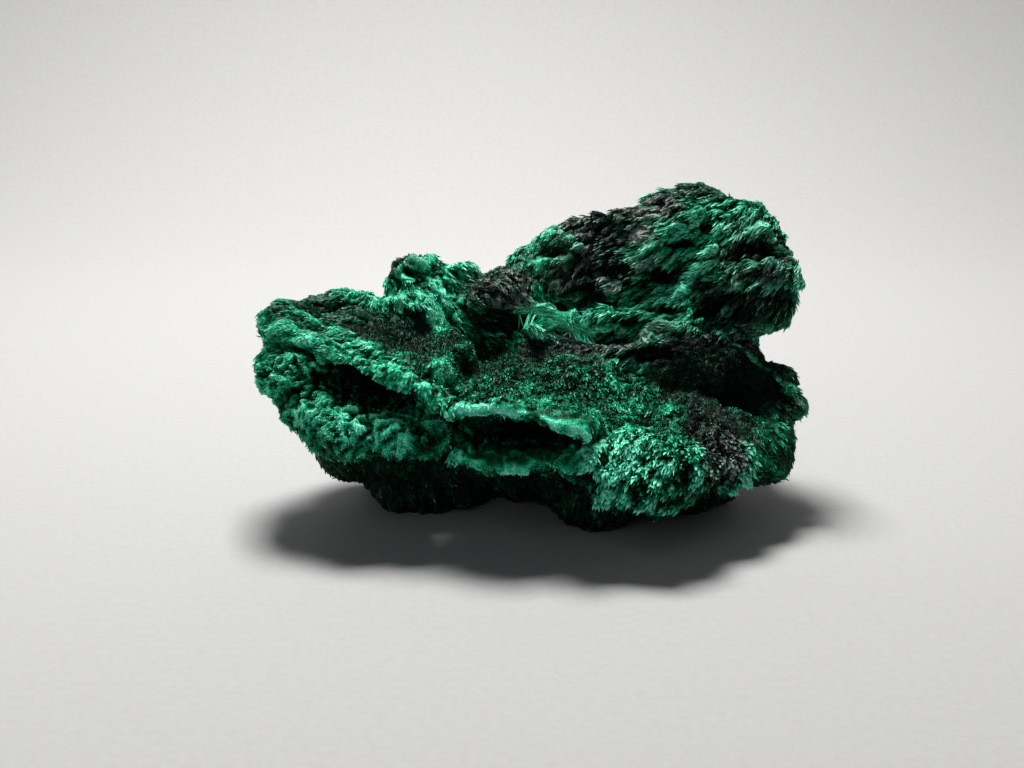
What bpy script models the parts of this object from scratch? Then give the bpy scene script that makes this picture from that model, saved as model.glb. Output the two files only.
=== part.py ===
"""A fibrous malachite specimen: one natural piece, a folded and hollowed crust of silky malachite.

It stands as it would on a shelf, with +X to its right, +Y to its back and +Z up. The origin is on the
surface it stands on, under the middle of its box. Run with: blender --background --python part.py
"""

import math

import bmesh
import bpy
from mathutils import Euler, Matrix, Vector

# Driving dimensions. The forms below are laid out in millimetres on a piece 85 mm long.
LENGTH = 0.085  # the finished piece, left to right
LAYOUT_LENGTH = 85.0
MM = LENGTH / LAYOUT_LENGTH
TO_MIDDLE = (0.1, 2.04, 0)  # moves the layout so that the origin is under the middle of the box

# How finely the crust is joined, and how far it wanders from the plain forms, in millimetres.
JOIN_GRAIN = 0.7
HOLLOW_GRAIN = 0.9
FILLET_ROUNDS = 3
WARP_SIZE, WARP_DEPTH = 12.0, 4.0  # slow wander of whole masses
CURL_SIZE, CURL_DEPTH = 5.5, 2.0  # rounded curls with creases between them
LUMP_SIZE, LUMP_DEPTH = 3.5, 2.4  # broken lumps
KEPT_FACES = 0.12  # share of the faces that the finished solid keeps
FLOOR_WIDTH, FLOOR_DEPTH = 200.0, 20.0  # the block that trims the underside level

# Each rounded mass of the crust: (centre), (half sizes), (turns about X, Y and Z in degrees).
MASSES = {
    "core": ((2, 3, 12.5), (27, 13, 11.5), (0, 0, 0)),
    "foot_left": ((-16, 4, 5), (12, 10, 7), (0, 0, 0)),
    "foot_right": ((22, 3, 5), (12, 13, 7), (0, 0, 0)),
    "foot_front": ((10, -6, 5), (9, 9, 6.5), (0, 0, 0)),
    "base_left": ((-23, 2, 13), (13, 10, 8.5), (0, 12, 0)),
    "plateau": ((-26, 1, 25.2), (15.5, 13, 4.4), (5, 9, -6)),
    "plateau_corner": ((-37.6, 3, 29.0), (4.8, 7, 3.2), (0, -2, 0)),
    "plateau_back": ((-27, 10.5, 28.6), (12, 4.0, 3.2), (0, 2, 5)),
    "left_lobe": ((-36.6, -5.5, 23.6), (5.2, 6.8, 4.4), (0, 30, 0)),
    "left_lobe_low": ((-32.0, -9.0, 19.4), (4.2, 5.4, 4.0), (0, 20, 0)),
    "left_ledge": ((-26, -11.5, 17.0), (6.4, 6.5, 4.2), (0, 10, 0)),
    "left_curl": ((-18.0, -13.5, 16.6), (5.4, 6.0, 3.8), (0, 4, 8)),
    "left_under": ((-27, 0, 10.5), (7.5, 6.5, 7.0), (0, 25, 0)),
    "back_fill": ((18, 13, 20), (20, 8.5, 15), (0, -4, 0)),
    "back_left": ((-20, 8, 19), (17, 8, 9), (0, 6, 0)),
    "back_middle": ((-2, 12, 17), (14, 9, 12), (0, 0, 0)),
    "knob": ((-18.5, 15.5, 32.2), (4.8, 3.8, 4.6), (0, -10, 0)),
    "knob_neck": ((-17, 12.0, 28.4), (6.0, 5.0, 4.4), (0, 10, 0)),
    "knob_wing": ((-11.5, 13.5, 31.4), (3.4, 2.0, 4.0), (0, -38, 0)),
    "grey_slab": ((-2.5, 11.5, 31.0), (9.5, 6.5, 4.2), (-16, -8, 8)),
    "valley_back": ((-7, 13, 25), (13, 6, 7), (0, 0, 0)),
    "massif_low": ((20, 14, 24), (18, 8, 12), (0, -8, -4)),
    "massif_left": ((6, 14, 34.8), (12, 6.5, 7.2), (0, -24, 4)),
    "massif_mid": ((19.5, 14, 37.5), (13, 6.5, 8.2), (-12, -20, 0)),
    "massif_peak": ((24.5, 16, 42.6), (7.5, 5.2, 5.6), (0, -10, 0)),
    "massif_shoulder": ((35.2, 14.0, 39.5), (5.0, 5.0, 6.4), (0, 12, 0)),
    "massif_tip": ((37.0, 9.5, 32.6), (6.0, 6.0, 7.0), (0, 8, 0)),
    "ridge_left": ((6, 0, 21.5), (10, 6.0, 4.0), (0, 6, 0)),
    "middle_fill": ((8, -4.0, 19.0), (16, 7.0, 4.2), (16, 6, 0)),
    "lip_back": ((-3, -9.5, 17.5), (10, 4.6, 4.4), (0, 4, 0)),
    "ridge_apex": ((25, 3, 21.5), (9, 5.0, 5.4), (0, 0, 0)),
    "slope": ((6, -8.5, 15.2), (18, 11, 5.2), (10, 6, -6)),
    "dark_patch": ((22.5, -7.5, 14.6), (9, 9, 5.4), (6, 0, 0)),
    "right_lobe": ((33.0, -5.0, 11.5), (7.8, 8.0, 5.4), (0, 4, 0)),
    "recess_back": ((33.5, 3.5, 14), (7.0, 4.5, 6.0), (0, 24, 0)),
    "front_cluster": ((16.5, -18, 12.4), (9.2, 7.6, 6.2), (0, 8, 8)),
    "small_lobe": ((28.4, -14.5, 11.4), (3.6, 3.8, 3.4), (0, 0, 0)),
}

# Each fold is a band of crust: (points along it), (half width), (thickness), (lean in degrees).
FOLDS = {
    "left_rim": (
        ((-38, -2, 28.0), (-33, -5, 28.0), (-26.5, -8.5, 26.2), (-20, -11, 24.2), (-12, -13, 21.4)),
        4.0, 1.7, 72,
    ),
    "upper_lip": (
        ((-12, -14.5, 20.4), (-6.5, -16.5, 22.2), (1.5, -18.5, 20.6), (9, -20, 19.4)),
        3.6, 1.9, 80,
    ),
    "lower_lip": (
        ((-11, -14, 14.0), (-4, -17.5, 14.6), (3, -19, 16.0), (10, -20, 17.4)),
        3.6, 2.0, 100,
    ),
    "bowl_rim": (
        ((-31, 9, 29.2), (-22, 9.5, 29.8), (-15.5, 8.0, 28.6), (-12.0, 4.0, 25.6), (-10, 2.0, 22.6)),
        2.6, 1.8, 20,
    ),
    "mid_ridge": (
        ((-4, 2.5, 25.4), (-1, 1.5, 26.4), (5, 0.5, 25.2), (11, 0.5, 24.0), (20, 2, 25.8), (29, 3.4, 26.8)),
        1.8, 2.0, 10,
    ),
    "right_edge": (
        ((24, 4, 24.4), (29, 3.6, 25.6), (34, 2, 22.2), (37.6, 0.5, 18.8), (39.6, -2.5, 15.0), (38.8, -5, 10)),
        3.0, 1.8, -14,
    ),
    "shoulder_ridge": (
        ((35, 12.5, 43.0), (31.4, 10.8, 40.2), (27.1, 8.6, 36.6), (23.8, 7, 33.0), (21.5, 5.5, 29.6)),
        2.4, 2.6, 50,
    ),
    "tip_ridge": (((24, 8, 33), (30, 7.5, 34), (35, 7, 35.6), (40, 6, 35.6)), 2.2, 2.4, 60),
    "curl_steps": (((2, 7, 28.5), (9, 6, 28.2), (17, 6, 28.6), (25, 6.5, 29.4)), 2.2, 2.6, 50),
    "green_steps": (((4, 10, 33.0), (10, 8.5, 32.4), (16, 8.5, 34.5), (21, 9.5, 38.0)), 2.2, 2.4, 50),
    "dark_crest": (
        ((-2, 12.5, 34.6), (5, 13, 38.6), (11.5, 13.6, 41.0), (19, 14.6, 43.4), (25.5, 15.5, 45.4)),
        1.8, 2.6, 30,
    ),
}

# Each hollow, in the same terms as a mass.
HOLLOWS = {
    "bowl": ((-15, -1, 32.2), (14, 8.5, 6.2), (6, 12, 0)),
    "bowl_low": ((-5, -5, 28.3), (9, 7, 5.0), (0, 14, 0)),
    "left_cave": ((-23.5, -14, 22.4), (9.5, 9.5, 2.3), (0, 24, -14)),
    "front_slit": ((-2.5, -20, 18.2), (8.5, 8.0, 1.9), (0, 2, -10)),
    "valley_cave": ((-6.5, 3.0, 27.0), (5.5, 5.5, 1.9), (0, -4, 0)),
    "right_recess": ((33.0, -8.0, 19.6), (6.4, 7.6, 3.4), (0, 32, -14)),
    "peak_hole": ((28.0, 6.0, 43.0), (1.8, 6.0, 2.0), (0, 0, 0)),
    "dark_hollow": ((3.5, 2.0, 33.5), (4.0, 6.0, 2.6), (0, -20, 0)),
    "tip_hollow": ((30.5, 1.5, 30.0), (5.5, 6.0, 2.6), (0, -8, 0)),
}


def millimetres(values):
    return Vector(values) * MM


def place(point):
    """A point of the layout, measured from the origin of the finished piece."""
    return millimetres(point) + millimetres(TO_MIDDLE)


def placement(centre, turns):
    """Puts a form at its centre, turned about X, Y and Z."""
    angles = Euler([math.radians(turn) for turn in turns])
    return Matrix.Translation(place(centre)) @ angles.to_matrix().to_4x4()


def add_rounded_form(mesh, centre, half_sizes, turns, detail=4):
    """Adds an ellipsoid to a bmesh."""
    scale = Matrix.Diagonal((*millimetres(half_sizes), 1))
    bmesh.ops.create_icosphere(
        mesh, subdivisions=detail, radius=1, matrix=placement(centre, turns) @ scale
    )


def add_fold(mesh, name, points, half_width, thickness, lean):
    """Adds a rounded band that follows a smooth path."""
    path = bpy.data.curves.new(name, "CURVE")
    path.dimensions = "3D"
    path.twist_mode = "Z_UP"
    path.extrude = half_width * MM
    path.bevel_depth = thickness / 2 * MM
    path.bevel_resolution = 2
    path.use_fill_caps = True
    spline = path.splines.new("BEZIER")
    spline.bezier_points.add(len(points) - 1)
    for knot, point in zip(spline.bezier_points, points):
        knot.co = place(point)
        knot.handle_left_type = "AUTO"
        knot.handle_right_type = "AUTO"
        knot.tilt = math.radians(lean)
    carrier = bpy.data.objects.new(name, path)
    bpy.context.scene.collection.objects.link(carrier)
    shapes = bpy.context.evaluated_depsgraph_get()
    band = bpy.data.meshes.new_from_object(carrier.evaluated_get(shapes))
    mesh.from_mesh(band)
    bpy.data.objects.remove(carrier)
    bpy.data.meshes.remove(band)


def linked_object(name, mesh):
    """Turns a bmesh into an object of the scene."""
    data = bpy.data.meshes.new(name)
    mesh.to_mesh(data)
    mesh.free()
    made = bpy.data.objects.new(name, data)
    bpy.context.scene.collection.objects.link(made)
    return made


def object_of(name, forms, folds):
    """One object holding every form and fold of two tables."""
    mesh = bmesh.new()
    for centre, half_sizes, turns in forms.values():
        add_rounded_form(mesh, centre, half_sizes, turns)
    for fold_name, (points, half_width, thickness, lean) in folds.items():
        add_fold(mesh, fold_name, points, half_width, thickness, lean)
    return linked_object(name, mesh)


def hide_as_cutter(cutter):
    cutter.hide_render = True
    cutter.display_type = "WIRE"


def add_remesh(body, name, grain):
    remesh = body.modifiers.new(name, "REMESH")
    remesh.mode = "VOXEL"
    remesh.voxel_size = grain * MM


def add_smooth(body, name, rounds):
    smooth = body.modifiers.new(name, "SMOOTH")
    smooth.factor = 0.5
    smooth.iterations = rounds


def add_cut(body, name, cutter):
    cut = body.modifiers.new(name, "BOOLEAN")
    cut.operation = "DIFFERENCE"
    cut.object = cutter


def cloud_texture(name, size, depth):
    texture = bpy.data.textures.new(name, "CLOUDS")
    texture.noise_scale = size * MM
    texture.noise_depth = depth
    texture.noise_basis = "IMPROVED_PERLIN"
    return texture


def cell_texture(name, size):
    """Rounded cells with creases between them."""
    texture = bpy.data.textures.new(name, "VORONOI")
    texture.noise_scale = size * MM
    return texture


def add_displace(body, name, texture, depth, direction="NORMAL"):
    displace = body.modifiers.new(name, "DISPLACE")
    displace.texture = texture
    displace.texture_coords = "LOCAL"
    displace.direction = direction
    displace.mid_level = 0.5
    displace.strength = depth * MM


def add_lighten(body, name, share):
    lighten = body.modifiers.new(name, "DECIMATE")
    lighten.ratio = share
    lighten.use_collapse_triangulate = True


def floor_block():
    """A block just under the surface that the piece stands on."""
    size = Matrix.Diagonal((*millimetres((FLOOR_WIDTH, FLOOR_WIDTH, FLOOR_DEPTH)), 1))
    middle = Matrix.Translation(millimetres((0, 0, -FLOOR_DEPTH / 2)))
    mesh = bmesh.new()
    bmesh.ops.create_cube(mesh, size=1, matrix=middle @ size)
    return linked_object("floor_block", mesh)


def malachite_material():
    material = bpy.data.materials.new("malachite")
    material.use_nodes = True
    shader = material.node_tree.nodes["Principled BSDF"]
    shader.inputs["Base Color"].default_value = (0.01, 0.18, 0.10, 1)
    shader.inputs["Roughness"].default_value = 0.55
    shader.inputs["Metallic"].default_value = 0.0
    return material


def build():
    for old in list(bpy.data.objects):
        bpy.data.objects.remove(old)
    body = object_of("malachite_specimen", MASSES, FOLDS)
    hollows = object_of("hollows", HOLLOWS, {})
    add_remesh(hollows, "join_hollows", HOLLOW_GRAIN)
    hide_as_cutter(hollows)
    floor = floor_block()
    hide_as_cutter(floor)
    add_remesh(body, "join", JOIN_GRAIN)
    add_smooth(body, "fillet", FILLET_ROUNDS)
    add_cut(body, "hollow_out", hollows)
    add_displace(body, "warp", cloud_texture("warp", WARP_SIZE, 2), WARP_DEPTH, "RGB_TO_XYZ")
    add_displace(body, "curls", cell_texture("curls", CURL_SIZE), -CURL_DEPTH)
    add_displace(body, "lumps", cloud_texture("lumps", LUMP_SIZE, 3), LUMP_DEPTH)
    add_remesh(body, "heal", JOIN_GRAIN)
    add_lighten(body, "lighten", KEPT_FACES)
    add_cut(body, "flat_feet", floor)
    body.data.materials.append(malachite_material())


build()
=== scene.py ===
import math

import bmesh
import bpy
import numpy as np
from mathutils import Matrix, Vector
from mathutils.kdtree import KDTree


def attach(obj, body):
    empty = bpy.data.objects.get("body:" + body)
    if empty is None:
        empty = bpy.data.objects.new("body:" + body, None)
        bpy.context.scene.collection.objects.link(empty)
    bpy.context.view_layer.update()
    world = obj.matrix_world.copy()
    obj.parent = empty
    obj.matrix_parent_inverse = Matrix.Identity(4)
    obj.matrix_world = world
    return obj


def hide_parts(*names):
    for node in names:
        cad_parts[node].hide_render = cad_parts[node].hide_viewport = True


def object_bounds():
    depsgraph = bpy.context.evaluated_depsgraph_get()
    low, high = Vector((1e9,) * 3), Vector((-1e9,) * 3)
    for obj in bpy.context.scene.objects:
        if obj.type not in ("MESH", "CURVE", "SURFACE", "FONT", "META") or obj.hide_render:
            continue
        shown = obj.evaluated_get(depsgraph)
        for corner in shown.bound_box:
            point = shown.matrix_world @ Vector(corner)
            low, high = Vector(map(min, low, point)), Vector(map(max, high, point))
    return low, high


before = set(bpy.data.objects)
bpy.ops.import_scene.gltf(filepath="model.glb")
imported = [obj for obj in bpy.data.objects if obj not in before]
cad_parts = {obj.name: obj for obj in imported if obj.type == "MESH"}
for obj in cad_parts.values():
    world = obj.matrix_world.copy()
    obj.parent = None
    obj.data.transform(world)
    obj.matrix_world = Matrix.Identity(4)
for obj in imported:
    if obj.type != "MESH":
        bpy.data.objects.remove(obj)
cadLow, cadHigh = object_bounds()

mm = 0.001
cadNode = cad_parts["malachite_specimen"]


# small helpers for node trees

class Wire:
    # one socket of a node tree that can be used in sums
    def __init__(self, board, socket):
        self.board = board
        self.socket = socket

    def __add__(self, other):
        return self.board.maths("ADD", self, other)

    def __radd__(self, other):
        return self.board.maths("ADD", other, self)

    def __sub__(self, other):
        return self.board.maths("SUBTRACT", self, other)

    def __rsub__(self, other):
        return self.board.maths("SUBTRACT", other, self)

    def __mul__(self, other):
        return self.board.maths("MULTIPLY", self, other)

    def __truediv__(self, other):
        return self.board.maths("DIVIDE", self, other)

    def between(self, low, high):
        # 0 below low, 1 above high, smooth in between
        return self.board.add(
            "ShaderNodeMapRange", {"interpolation_type": "SMOOTHSTEP"},
            {0: self, 1: low, 2: high, 3: 0.0, 4: 1.0},
        )


class Board:
    # writes the nodes of one tree
    def __init__(self, tree):
        self.tree = tree

    def add(self, kind, settings=None, inputs=None, output=0):
        node = self.tree.nodes.new(kind)
        for name, value in (settings or {}).items():
            if name == "stops":
                self.fillRamp(node.color_ramp, value)
            else:
                setattr(node, name, value)
        for key, value in (inputs or {}).items():
            self.feed(node.inputs[key], value)
        return Wire(self, node.outputs[output])

    def feed(self, socket, value):
        if isinstance(value, Wire):
            self.tree.links.new(value.socket, socket)
        elif value is not None:
            socket.default_value = value

    def fillRamp(self, ramp, stops):
        while len(ramp.elements) > 1:
            ramp.elements.remove(ramp.elements[-1])
        ramp.elements[0].position = stops[0][0]
        ramp.elements[0].color = (*stops[0][1], 1)
        for place, colour in stops[1:]:
            ramp.elements.new(place).color = (*colour, 1)

    def maths(self, operation, first, second=None):
        return self.add("ShaderNodeMath", {"operation": operation}, {0: first, 1: second})

    def vector(self, operation, first, second=None):
        return self.add("ShaderNodeVectorMath", {"operation": operation}, {0: first, 1: second})

    def stretch(self, vector, factor):
        return self.add("ShaderNodeVectorMath", {"operation": "SCALE"}, {0: vector, 3: factor})

    def split(self, vector):
        # the x, y and z of a vector
        node = self.tree.nodes.new("ShaderNodeSeparateXYZ")
        self.feed(node.inputs[0], vector)
        return [Wire(self, socket) for socket in node.outputs]

    def join(self, x, y, z):
        return self.add("ShaderNodeCombineXYZ", {}, {0: x, 1: y, 2: z})

    def mixColour(self, factor, first, second):
        return self.add("ShaderNodeMix", {"data_type": "RGBA"}, {0: factor, 6: first, 7: second}, 2)

    def noise(self, place, scale, detail):
        return self.add("ShaderNodeTexNoise", {}, {"Vector": place, "Scale": scale, "Detail": detail})

    def attribute(self, name, kind="FLOAT"):
        # a named attribute inside a geometry tree
        return self.add("GeometryNodeInputNamedAttribute", {"data_type": kind}, {0: name})

    def store(self, geometry, name, value, kind="FLOAT", domain="POINT"):
        return self.add(
            "GeometryNodeStoreNamedAttribute", {"data_type": kind, "domain": domain},
            {"Geometry": geometry, "Name": name, "Value": value},
        )


def newTree(name, sizes):
    # a geometry tree whose named inputs are the sizes
    tree = bpy.data.node_groups.new(name, "GeometryNodeTree")
    tree.interface.new_socket("Geometry", in_out="INPUT", socket_type="NodeSocketGeometry")
    tree.interface.new_socket("Geometry", in_out="OUTPUT", socket_type="NodeSocketGeometry")
    kinds = {float: "NodeSocketFloat", int: "NodeSocketInt", str: "NodeSocketString"}
    for label, value in sizes.items():
        socket = tree.interface.new_socket(label, in_out="INPUT", socket_type=kinds[type(value)])
        socket.default_value = value
    board = Board(tree)
    entry = tree.nodes.new("NodeGroupInput")
    given = {label: Wire(board, entry.outputs[label]) for label in ["Geometry", *sizes]}
    return tree, board, given


def closeTree(board, geometry):
    leave = board.tree.nodes.new("NodeGroupOutput")
    board.feed(leave.inputs["Geometry"], geometry)


def applyTree(thing, tree, sizes):
    # runs the tree with these sizes and keeps the result as a plain mesh
    change = thing.modifiers.new(tree.name, "NODES")
    change.node_group = tree
    for item in tree.interface.items_tree:
        if item.in_out == "INPUT" and item.name in sizes:
            change[item.identifier] = sizes[item.name]
    applyAll(thing)


def applyAll(thing):
    shapes = bpy.context.evaluated_depsgraph_get()
    made = bpy.data.meshes.new_from_object(thing.evaluated_get(shapes))
    thing.modifiers.clear()
    thing.data = made
    return thing


def addThing(name, data):
    thing = bpy.data.objects.new(name, data)
    bpy.context.scene.collection.objects.link(thing)
    return thing


def triangles(thing):
    return sum(len(face.vertices) - 2 for face in thing.data.polygons)


# where things are on the specimen, in mm from the frame's origin

# kind of surface: [(middle, half sizes), ...]; a later kind covers an earlier one
surfaceKinds = {
    "combed": [((16, 10, 36), (30, 15, 17)), ((38, 8, 33), (9, 10, 12)), ((0, 8, 29), (8, 6, 6))],
    "plate": [
        ((-30, 4, 30), (16, 16, 7)), ((-20, 8, 29), (12, 6, 6)),
        ((36, -3, 14), (9, 9, 7)), ((2, 12, 38), (6, 6, 5)),
    ],
    "ruffled": [
        ((-34, -9, 22.5), (9, 7, 5.5)), ((-25, -12, 18), (14, 7, 6)), ((-20, 17, 37), (5, 5, 2.5)),
    ],
    "drusy": [((-17, 2, 26), (13, 6.5, 6)), ((-4, 0, 23), (16, 7, 5)), ((29, -3, 20), (11, 11, 8))],
    "grainy": [((5, -8, 21), (22, 9, 6)), ((24, -12, 16), (8, 6, 6))],
    "chipped": [((15, -21, 13), (11, 9, 7)), ((30, -14, 12), (5, 5, 5))],
    "lipped": [((-2, -20, 20.5), (12.5, 4, 3.2)), ((-2, -20, 15.5), (12.5, 5, 2.6))],
}

# which way the fibres lie, root to tip: (middle, reach, direction)
fibreRuns = [
    ((18, 6, 27), 7, (-0.95, -0.2, -0.2)),
    ((18, 9, 36), 10, (-0.9, -0.25, -0.36)),
    ((31, 11, 40), 6, (-0.7, -0.3, -0.65)),
    ((39, 8, 36), 6, (-0.75, -0.4, -0.45)),
    ((39, 9, 44), 4, (0.6, -0.3, 0.5)),
    ((7, 6, 28), 2.5, (0.6, -0.3, -0.75)),
    ((3, 7, 30), 2.5, (0.95, -0.3, 0.1)),
    ((-2, 8, 29), 2.5, (0.5, -0.4, 0.7)),
    ((1, 10, 37), 3.5, (-0.7, -0.5, -0.5)),
    ((-6, 9, 33), 5, (0.95, -0.25, -0.15)),
    ((-34, 3, 31), 10, (-0.95, -0.2, 0.1)),
    ((-30, -8, 28), 7, (-0.9, -0.4, 0.2)),
    ((-18, 10, 31), 8, (0.6, -0.5, -0.5)),
    ((-20, -12, 24), 5, (-0.4, -0.8, -0.4)),
    ((-26, -14, 17), 9, (0.15, -0.5, -0.85)),
    ((0, -20, 20), 8, (-0.1, -0.75, -0.6)),
    ((0, -20, 15), 7, (-0.2, -0.75, -0.6)),
    ((15, -20, 13), 9, (-0.5, -0.5, -0.6)),
    ((36, -4, 14), 9, (0.6, -0.4, -0.5)),
    ((5, -6, 22), 12, (0.3, -0.7, -0.4)),
]

# how light the malachite is, 0 black to 1 pale mint, with painted shade and light where marked: (middle,
# half sizes, tone)
tonePatches = [
    # painted shade on the bottom of the specimen, up to 13.2 mm above the floor
    ((0, 0, 0), (60, 60, 13.2), 0.14),
    ((13, 22, 25), (40, 9, 30), 0.46),
    ((22, 11, 42), (8, 6, 6), 0.75),
    ((14, 7, 31), (12, 6, 5), 0.6),
    ((22, 7, 34), (7, 6, 6), 0.58),
    ((2, 11, 38), (5, 6, 5), 0.64),
    ((33, 13, 44), (6, 5, 4), 0.68),
    ((27, 15, 47), (6, 4, 3), 0.56),
    ((-6, 10, 34), (8, 6, 5), 0.56),
    ((41, 7, 34), (3, 6, 4), 0.6),
    # the curl's own pale colour, lifted further as painted light against the massif's shadow on it
    ((3, 5.5, 28.5), (6.5, 3.5, 3), 1.15),
    ((-37, 3, 31), (6, 7, 4), 0.56),
    ((-33, 9, 31), (9, 8, 4), 0.34),
    ((-26, 5, 30), (10, 7, 4), 0.25),
    ((-18, 4, 27), (12, 7, 5), 0.2),
    ((-6, 2, 24), (11, 6, 5), 0.36),
    ((-21, 12, 32), (10, 4, 2.6), 0.86),
    ((-14, 9, 29), (3, 4, 3), 0.9),
    ((-20, 17, 36), (4.5, 5, 3.5), 0.38),
    ((-12, 15, 34.5), (3.5, 5, 3), 0.72),
    ((-16, 14, 34), (3, 4, 3), 0.76),
    ((-18, 14, 33.5), (2.5, 4, 1.6), 0.62),
    ((-32, -6, 30), (8, 5, 3), 0.62),
    ((-22, -10, 26.5), (8, 5, 3), 0.58),
    ((-35, -8, 24), (7, 6, 5), 0.52),
    ((-26, -14, 18), (11, 6, 5), 0.48),
    ((-24, -15, 20.5), (5, 5, 2.2), 0.74),
    ((-32, -10, 20), (3.5, 5, 2), 0.7),
    ((-26, -14, 13.5), (12, 6, 2.2), 0.34),
    ((-2, -14, 15), (10, 6, 1.8), 0.5),
    ((3, -8, 21), (20, 8, 5), 0.45),
    ((14, -6, 21), (4, 3, 3), 0.68),
    ((2, -12, 21), (5, 2.5, 3), 0.68),
    ((-13, -5, 22.5), (4, 6, 3), 1.1),
    ((24, -2, 21), (7, 7, 5), 0.4),
    ((19, 2, 27), (8, 5, 2.4), 0.72),
    # painted shade on the steep face below the recess edge, in these two patches
    ((32, 2, 21.5), (9, 5, 5.5), 0.13),
    ((40, 0, 20), (4, 6, 4), 0.28),
    ((36, -6, 14), (7, 7, 4), 0.44),
    # painted shade under the right lobe
    ((37, -6, 9.5), (9, 9, 3), 0.22),
    ((15, -21, 14), (11, 9, 7), 0.52),
    # painted highlight on the cluster's upper left
    ((11, -21, 16.5), (6, 5, 3.5), 0.95),
    ((20, -21, 10), (8, 6, 3), 0.42),
    ((28, -14, 14), (5, 5, 4), 0.36),
    ((33, -13, 10), (3, 4, 3), 0.56),
    ((-1, -20, 21.6), (12, 3.5, 1.6), 0.6),
    # painted shade in the slit between the lips
    ((5, -19, 18.6), (6, 4, 1.1), 0.2),
    ((-2, -20, 15.2), (12, 4, 1.4), 0.5),
]

# where it is sooty grey instead of green: (middle, half sizes, share)
sootPatches = [
    ((12, 13, 42), (8, 7, 3.5), 1.0),
    ((10, 10, 37), (6, 6, 4), 0.95),
    ((6, 10, 33.5), (5, 5, 2), 0.8),
    ((18, 9, 37.5), (3, 5, 1.6), 0.6),
    ((18, 14, 46), (6, 5, 2.5), 1.0),
    ((27, 16, 48), (5, 4, 1.6), 0.7),
    ((-4.5, 10, 33.5), (6.5, 6, 4), 0.9),
    ((36, 9, 38), (6, 7, 5), 0.9),
    ((33, 8, 32), (7, 6, 4.5), 0.8),
    ((35, 12, 43), (4, 4, 1.6), 0.5),
    ((7, 2, 26), (9, 4.5, 2.2), 0.95),
    ((21, 2, 26.5), (9, 4.5, 3.5), 0.95),
    ((28, -9, 18), (6.5, 7, 5), 1.0),
    ((27, -15, 14), (4.5, 5, 4.5), 0.9),
    ((26, -1, 21), (7, 6, 4), 0.7),
    ((34, 3, 22), (7, 6, 6), 0.9),
    # soot colour and painted shade on the face below the recess edge
    ((40, 0, 20), (4, 6, 4), 0.6),
    ((-35, 10, 32), (4, 5, 2), 0.4),
    ((-21, 17, 36.5), (3.5, 4, 2.5), 0.85),
    ((0, 0, 0), (60, 60, 8), 0.4),
]
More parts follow.
